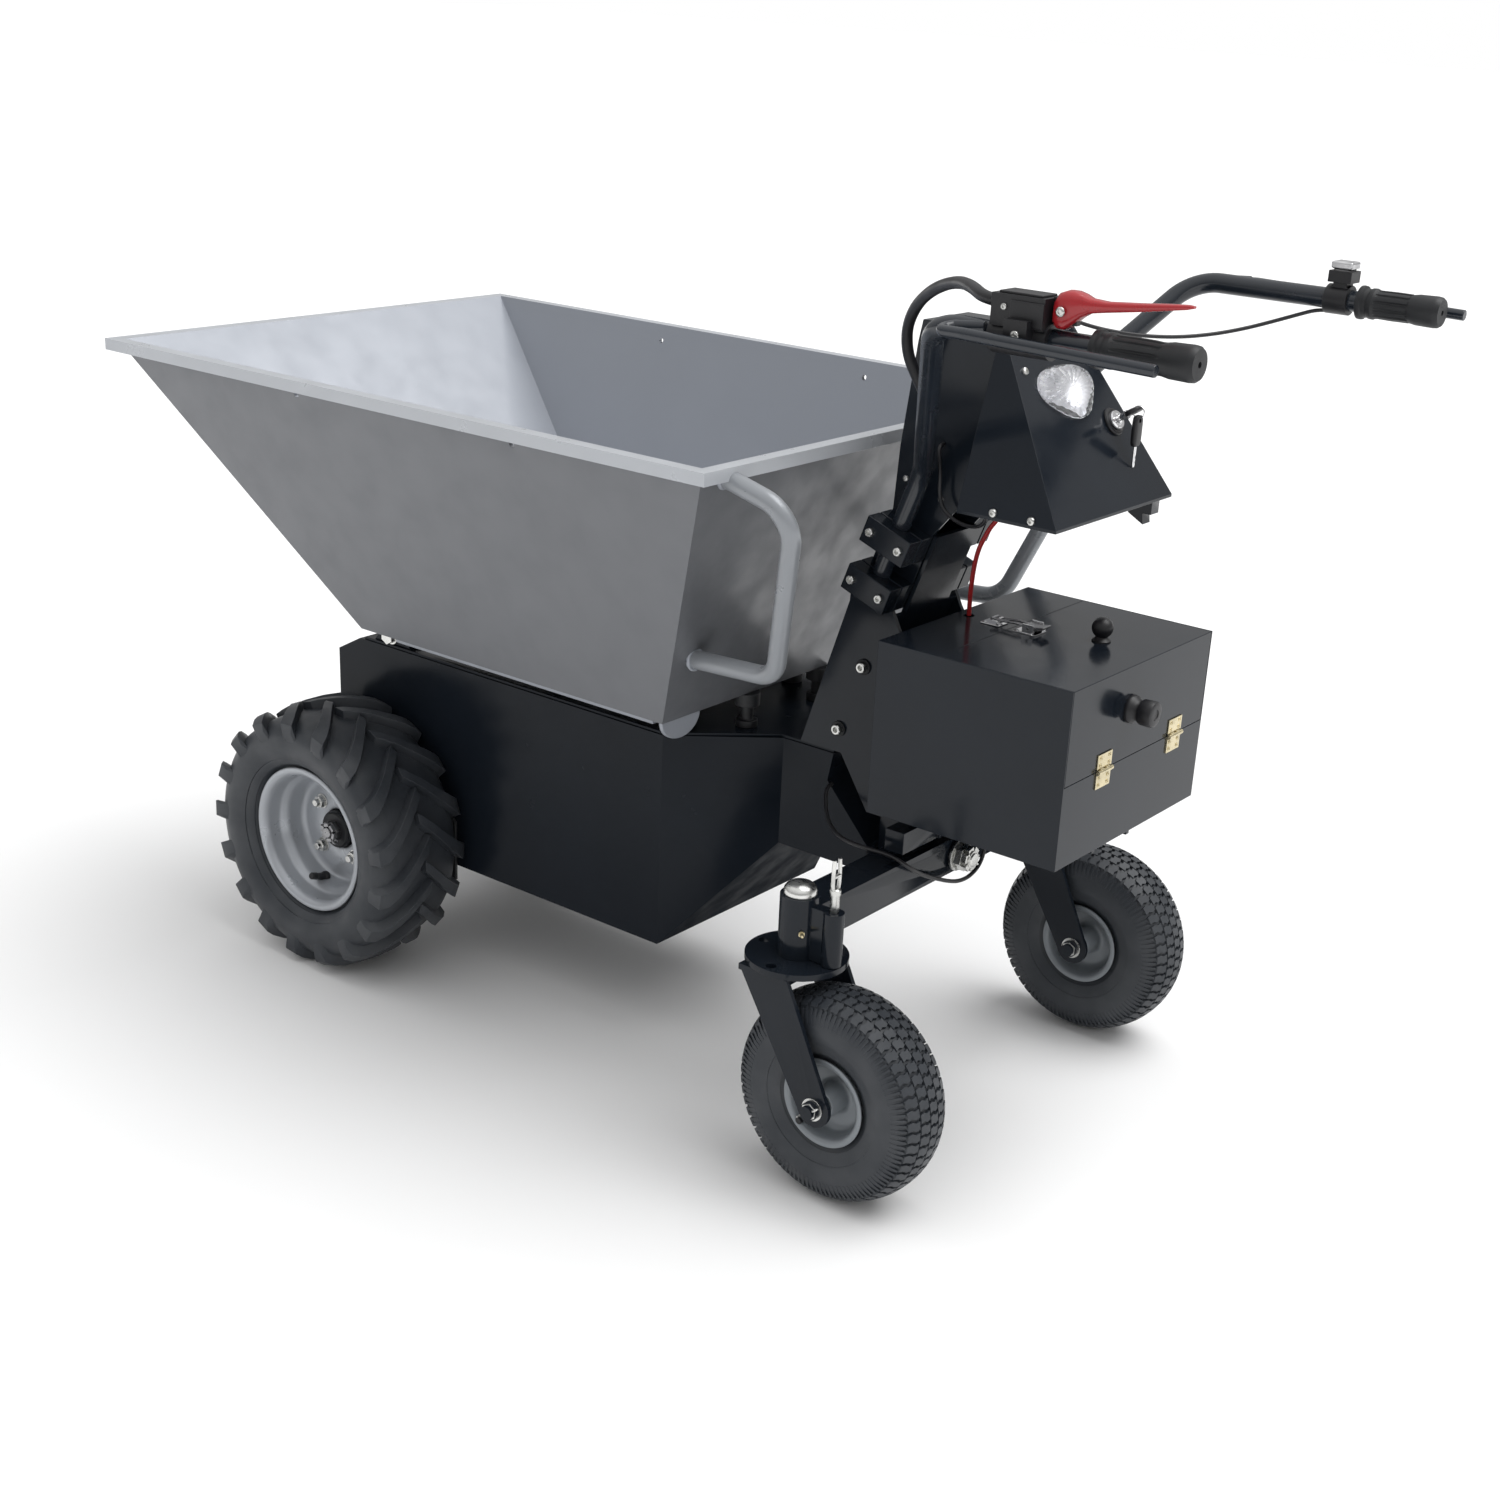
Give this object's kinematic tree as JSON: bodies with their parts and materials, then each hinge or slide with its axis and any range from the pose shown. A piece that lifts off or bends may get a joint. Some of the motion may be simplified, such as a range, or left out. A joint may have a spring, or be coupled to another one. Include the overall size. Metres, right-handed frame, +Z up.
{
  "type": "power wheelbarrow",
  "caption": "Battery powered wheelbarrow with a tipping steel hopper, driven front wheels, rocking caster beam and handlebar controls.",
  "frame": {"origin": "on the ground, under the middle of the machine's bounding box", "axes": "+X forward (the hopper tips this way), +Y to the machine's left, +Z up"},
  "size_m": [1.6821, 0.79, 1.1425],
  "materials": {
    "hopper_paint": "smooth silver-grey gloss paint",
    "dark_paint": "dark blue-grey gloss powder coat",
    "black_paint": "black satin powder coat",
    "zinc": "bright zinc plated",
    "steel": "machined steel",
    "cast": "painted casting",
    "rim_silver": "silver painted pressed steel",
    "rim_grey": "mid-grey painted pressed steel",
    "tyre": "black tyre rubber",
    "rubber": "black ribbed rubber",
    "black_plastic": "black moulded plastic",
    "red_lever": "red gloss paint",
    "brass": "rolled brass",
    "chrome": "chrome plated",
    "lens": "clear fluted lens",
    "battery_case": "dark moulded battery case",
    "aluminium": "finned extrusion",
    "red_cable": "red cable jacket"
  },
  "bodies": {
    "chassis": {"chassis_shell": "dark_paint", "chassis_top_plate": "dark_paint", "transaxle": "cast", "drive_motor": "black_paint", "motor_controller": "aluminium", "hopper_hinge_bolts": "zinc", "hopper_rest_posts": "rubber", "rocker_pin": "zinc", "box_support": "dark_paint", "column_bracket": "dark_paint", "clamp_blocks": "dark_paint", "column_head": "dark_paint", "zinc_screws": "zinc", "control_box": "dark_paint", "headlight_reflector": "chrome", "headlight_lens": "lens", "key_switch": "chrome", "handlebar": "dark_paint", "left_grip": "rubber", "guard_rods": "dark_paint", "lever_perch": "black_plastic", "switch_housing": "black_plastic", "battery_box": "dark_paint", "battery_pack": "battery_case", "hinge_leaves_lower": "brass", "latch_keeper": "chrome", "handle_loom": "black_plastic", "battery_lead": "red_cable", "switch_cable": "black_plastic", "beam_cable": "black_plastic", "column_cable": "black_plastic"},
    "hopper": {"hopper_tub": "hopper_paint", "hopper_handles": "hopper_paint", "hopper_lugs": "hopper_paint"},
    "rear_beam": {"rear_beam": "dark_paint", "king_pin_caps": "zinc"},
    "caster_fork_left": {"caster_fork_left": "dark_paint"},
    "caster_fork_right": {"caster_fork_right": "dark_paint"},
    "caster_wheel_left": {"caster_tyre_left": "tyre", "caster_rim_left": "rim_grey"},
    "caster_wheel_right": {"caster_tyre_right": "tyre", "caster_rim_right": "rim_grey"},
    "lock_pin_left": {"lock_pin_left": "zinc"},
    "lock_pin_right": {"lock_pin_right": "zinc"},
    "drive_wheel_left": {"drive_tyre_left": "tyre", "drive_rim_left": "rim_silver", "drive_hub_left": "steel"},
    "drive_wheel_right": {"drive_tyre_right": "tyre", "drive_rim_right": "rim_silver", "drive_hub_right": "steel"},
    "battery_lid": {"battery_lid": "dark_paint", "hinge_leaves_upper": "brass", "lid_knobs": "black_plastic", "latch_base": "chrome"},
    "latch_lever": {"latch_lever": "chrome"},
    "brake_lever": {"brake_lever": "red_lever"},
    "throttle_grip": {"throttle_grip": "rubber"},
    "horn_button": {"horn_button": "aluminium"},
    "ignition_key": {"ignition_key": "chrome"},
    "key_tag": {"key_tag": "black_plastic"}
  },
  "joints": [
    {"name": "hopper_tip", "type": "hinge", "parent": "chassis", "child": "hopper", "pos_m": [0.5, 0, 0.488], "axis": [0, 1, 0], "range_deg": [0, 75]},
    {"name": "beam_rock", "type": "hinge", "parent": "chassis", "child": "rear_beam", "pos_m": [-0.37, 0, 0.349], "axis": [1, 0, 0], "range_deg": [-4, 4]},
    {"name": "caster_swivel_left", "type": "hinge", "parent": "rear_beam", "child": "caster_fork_left", "pos_m": [-0.37, 0.312, 0.3], "axis": [0, 0, 1], "continuous": true},
    {"name": "caster_spin_left", "type": "hinge", "parent": "caster_fork_left", "child": "caster_wheel_left", "pos_m": [-0.45, 0.312, 0.14], "axis": [0, 1, 0], "continuous": true},
    {"name": "swivel_lock_left", "type": "slide", "parent": "rear_beam", "child": "lock_pin_left", "axis": [0, 0, 1], "range_m": [-0.0108, 0]},
    {"name": "drive_spin_left", "type": "hinge", "parent": "chassis", "child": "drive_wheel_left", "pos_m": [0.52, 0.276, 0.2], "axis": [0, 1, 0], "continuous": true},
    {"name": "caster_swivel_right", "type": "hinge", "parent": "rear_beam", "child": "caster_fork_right", "pos_m": [-0.37, -0.312, 0.3], "axis": [0, 0, 1], "continuous": true},
    {"name": "caster_spin_right", "type": "hinge", "parent": "caster_fork_right", "child": "caster_wheel_right", "pos_m": [-0.45, -0.312, 0.14], "axis": [0, 1, 0], "continuous": true},
    {"name": "swivel_lock_right", "type": "slide", "parent": "rear_beam", "child": "lock_pin_right", "axis": [0, 0, 1], "range_m": [-0.0108, 0]},
    {"name": "drive_spin_right", "type": "hinge", "parent": "chassis", "child": "drive_wheel_right", "pos_m": [0.52, -0.276, 0.2], "axis": [0, 1, 0], "continuous": true},
    {"name": "lid_hinge", "type": "hinge", "parent": "chassis", "child": "battery_lid", "pos_m": [-0.643, 0, 0.558], "axis": [0, -1, 0], "range_deg": [0, 95]},
    {"name": "latch_pivot", "type": "hinge", "parent": "battery_lid", "child": "latch_lever", "pos_m": [-0.482, 0.006, 0.685], "axis": [0, -1, 0], "range_deg": [0, 20]},
    {"name": "brake_pivot", "type": "hinge", "parent": "chassis", "child": "brake_lever", "pos_m": [-0.655, 0.3, 1.12], "axis": [0, -1, 0], "range_deg": [0, 6.5], "stiffness_Nm_per_rad": 2, "springref_deg": -8.59},
    {"name": "throttle_twist", "type": "hinge", "parent": "chassis", "child": "throttle_grip", "pos_m": [-0.77, -0.301, 1.087], "axis": [-1, 0, 0], "range_deg": [0, 60], "stiffness_Nm_per_rad": 0.4, "springref_deg": -5.73},
    {"name": "horn_press", "type": "slide", "parent": "chassis", "child": "horn_button", "axis": [0, 0, -1], "range_m": [0, 0.002], "stiffness_N_per_m": 300, "springref_m": -0.002},
    {"name": "key_turn", "type": "hinge", "parent": "chassis", "child": "ignition_key", "pos_m": [-0.51917, -0.074, 0.937], "axis": [0.8385, 0, -0.5448], "range_deg": [0, 60]},
    {"name": "tag_swing", "type": "hinge", "parent": "ignition_key", "child": "key_tag", "pos_m": [-0.55162, -0.074, 0.95809], "axis": [1, 0, 0], "range_deg": [-15, 15]}
  ]
}
